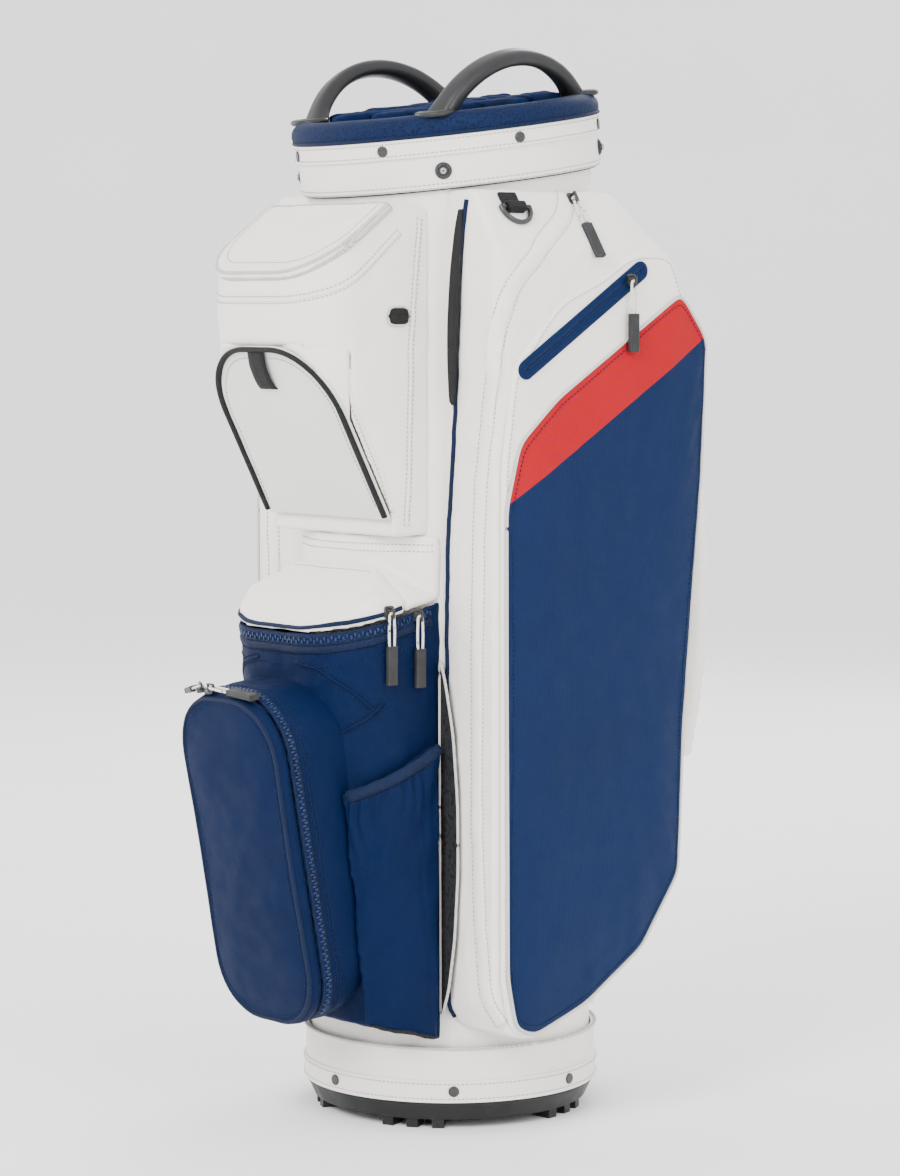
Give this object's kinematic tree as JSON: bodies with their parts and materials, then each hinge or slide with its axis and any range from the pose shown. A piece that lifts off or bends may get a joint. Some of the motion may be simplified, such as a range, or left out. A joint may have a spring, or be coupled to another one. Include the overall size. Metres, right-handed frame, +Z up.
{
  "type": "cart golf bag",
  "caption": "Cart-style golf bag: white, blue and red cloth over a stiff tube, padded divided top with carry handles, zipped front and side pockets, moulded black base.",
  "frame": {"origin": "on the floor under the axis of the main tube, at the centre of the base's centre pad", "axes": "+Z up along the tube, +Y towards the spine that rests on a cart, -Y towards the front pockets, +X towards the bag's right side, which carries the chest pocket and towel ring"},
  "size_m": [0.3444, 0.4992, 0.9012],
  "materials": {
    "moulded_black": "fine moulded texture",
    "rivet_black": "satin black",
    "tube_board": "extruded board",
    "stay_alloy": "drawn tube",
    "collar_white": "coated cloth over board",
    "cuff_mesh": "air mesh",
    "divider_pad": "brushed padded cloth",
    "divider_cloth": "thin lining",
    "white_cloth": "coated woven polyester",
    "flap_cloth": "coated woven polyester, slightly greyer",
    "black_trim": "woven webbing and binding",
    "blue_cloth": "coated woven polyester",
    "side_panel_cloth": "coated woven polyester with a printed red band",
    "welded_blue": "welded film binding",
    "ring_metal": "black",
    "strap_cloth": "padded coated cloth",
    "hard_black": "moulded hardware",
    "slider_black": "satin black",
    "cord_fleck": "braided, white with black flecks",
    "grip_black": "moulded soft grip"
  },
  "bodies": {
    "bag": {"base_cup": "moulded_black", "base_feet": "moulded_black", "base_collar": "collar_white", "base_rivets": "rivet_black", "main_tube": "tube_board", "stay_rods": "stay_alloy", "top_ring": "moulded_black", "top_collar": "collar_white", "top_rivets": "rivet_black", "hood_snaps": "rivet_black", "cuff_pad": "cuff_mesh", "divider_bars_long": "divider_pad", "divider_bars_short": "divider_pad", "divider_sheets": "divider_cloth", "handle_left": "moulded_black", "handle_right": "moulded_black", "upper_pocket_shell": "white_cloth", "front_yoke": "white_cloth", "cooler_shell": "blue_cloth", "ball_pocket_shell": "blue_cloth", "apparel_shell_right": "white_cloth", "apparel_shell_left": "white_cloth", "bottle_sleeve_right": "blue_cloth", "bottle_sleeve_left": "blue_cloth", "spine_panel": "white_cloth", "strap_anchors": "hard_black", "d_ring_webbing": "black_trim"},
    "valuables_lid": {"valuables_lid": "white_cloth"},
    "rangefinder_flap": {"rangefinder_flap": "flap_cloth", "flap_trim": "black_trim", "flap_pull_tab": "black_trim"},
    "cooler_lid": {"cooler_lid": "white_cloth"},
    "ball_pocket_door": {"ball_pocket_door": "blue_cloth"},
    "right_door": {"apparel_door_right": "white_cloth", "side_panel_right": "side_panel_cloth", "chest_zip_strip": "welded_blue"},
    "left_door": {"apparel_door_left": "white_cloth", "side_panel_left": "side_panel_cloth"},
    "strap": {"strap_webbing": "black_trim", "strap_pad": "strap_cloth", "strap_buckle": "hard_black"},
    "towel_ring": {"d_ring": "ring_metal"},
    "ball_zip_right_slider": {"ball_zip_right_slider": "slider_black"},
    "ball_zip_right_pull": {"ball_zip_right_cord": "cord_fleck", "ball_zip_right_grip": "grip_black"},
    "ball_zip_left_slider": {"ball_zip_left_slider": "slider_black"},
    "ball_zip_left_pull": {"ball_zip_left_cord": "cord_fleck", "ball_zip_left_grip": "grip_black"},
    "cooler_zip_front_slider": {"cooler_zip_front_slider": "slider_black"},
    "cooler_zip_front_pull": {"cooler_zip_front_cord": "cord_fleck", "cooler_zip_front_grip": "grip_black"},
    "cooler_zip_rear_slider": {"cooler_zip_rear_slider": "slider_black"},
    "cooler_zip_rear_pull": {"cooler_zip_rear_cord": "cord_fleck", "cooler_zip_rear_grip": "grip_black"},
    "chest_zip_slider": {"chest_zip_slider": "slider_black"},
    "chest_zip_pull": {"chest_zip_cord": "cord_fleck", "chest_zip_grip": "grip_black"},
    "shoulder_zip_slider": {"shoulder_zip_slider": "slider_black"},
    "shoulder_zip_pull": {"shoulder_zip_cord": "cord_fleck", "shoulder_zip_grip": "grip_black"}
  },
  "joints": [
    {"name": "valuables_lid_hinge", "type": "hinge", "parent": "bag", "child": "valuables_lid", "pos_m": [0, -0.1315, 0.7715], "axis": [-1, 0, 0], "range_deg": [0, 60]},
    {"name": "rangefinder_flap_hinge", "type": "hinge", "parent": "bag", "child": "rangefinder_flap", "pos_m": [0, -0.1305, 0.513], "axis": [1, 0, 0], "range_deg": [0, 45]},
    {"name": "cooler_lid_hinge", "type": "hinge", "parent": "bag", "child": "cooler_lid", "pos_m": [0, -0.1215, 0.475], "axis": [-1, 0, 0], "range_deg": [0, 50]},
    {"name": "ball_door_hinge", "type": "hinge", "parent": "bag", "child": "ball_pocket_door", "pos_m": [0, -0.18404, 0.09332], "axis": [1, 0, 0], "range_deg": [0, 70]},
    {"name": "right_door_hinge", "type": "hinge", "parent": "bag", "child": "right_door", "pos_m": [0.164, 0.15, 0.4], "axis": [0, 0, 1], "range_deg": [0, 40]},
    {"name": "left_door_hinge", "type": "hinge", "parent": "bag", "child": "left_door", "pos_m": [-0.164, 0.15, 0.4], "axis": [0, 0, -1], "range_deg": [0, 40]},
    {"name": "strap_swing", "type": "hinge", "parent": "bag", "child": "strap", "pos_m": [0.03, 0.143, 0.438], "axis": [0, 0, 1], "range_deg": [-40, 40]},
    {"name": "towel_ring_swing", "type": "hinge", "parent": "bag", "child": "towel_ring", "pos_m": [0.14365, -0.051, 0.76994], "axis": [0, -1, 0], "range_deg": [0, 80]},
    {"name": "ball_zip_right_slide", "type": "slide", "parent": "ball_pocket_door", "child": "ball_zip_right_slider", "axis": [1, 0, 0], "range_m": [0, 0.04]},
    {"name": "ball_zip_left_slide", "type": "slide", "parent": "ball_pocket_door", "child": "ball_zip_left_slider", "axis": [-1, 0, 0], "range_m": [0, 0.006]},
    {"name": "cooler_zip_front_slide", "type": "slide", "parent": "cooler_lid", "child": "cooler_zip_front_slider", "axis": [0, -0.9727, -0.2323], "range_m": [-0.01, 0.01]},
    {"name": "cooler_zip_rear_slide", "type": "slide", "parent": "bag", "child": "cooler_zip_rear_slider", "axis": [0, -0.9727, -0.2323], "range_m": [0, 0.008]},
    {"name": "chest_zip_slide", "type": "slide", "parent": "right_door", "child": "chest_zip_slider", "axis": [0, -0.8415, -0.5402], "range_m": [-0.008, 0.12]},
    {"name": "shoulder_zip_slide", "type": "slide", "parent": "bag", "child": "shoulder_zip_slider", "axis": [0, -1, 0], "range_m": [0, 0.04]},
    {"name": "ball_zip_right_pull_swing", "type": "hinge", "parent": "ball_zip_right_slider", "child": "ball_zip_right_pull", "pos_m": [-0.018, -0.24241, 0.37592], "axis": [0, -0.9833, -0.1822], "range_deg": [0, 80]},
    {"name": "ball_zip_left_pull_swing", "type": "hinge", "parent": "ball_zip_left_slider", "child": "ball_zip_left_pull", "pos_m": [-0.032, -0.24241, 0.37592], "axis": [0.423, 0.8909, 0.1651], "range_deg": [0, 80]},
    {"name": "cooler_zip_front_pull_swing", "type": "hinge", "parent": "cooler_zip_front_slider", "child": "cooler_zip_front_pull", "pos_m": [0.093, -0.14, 0.4387], "axis": [0, -1, 0], "range_deg": [0, 80]},
    {"name": "cooler_zip_rear_pull_swing", "type": "hinge", "parent": "cooler_zip_rear_slider", "child": "cooler_zip_rear_pull", "pos_m": [0.093, -0.11, 0.4347], "axis": [0, -1, 0], "range_deg": [0, 80]},
    {"name": "chest_zip_pull_swing", "type": "hinge", "parent": "chest_zip_slider", "child": "chest_zip_pull", "pos_m": [0.1732, 0.054, 0.71], "axis": [0, -1, 0], "range_deg": [0, 80]},
    {"name": "shoulder_zip_pull_swing", "type": "hinge", "parent": "shoulder_zip_slider", "child": "shoulder_zip_pull", "pos_m": [0.13786, 0.019, 0.7793], "axis": [0, -1, 0], "range_deg": [0, 80]}
  ]
}
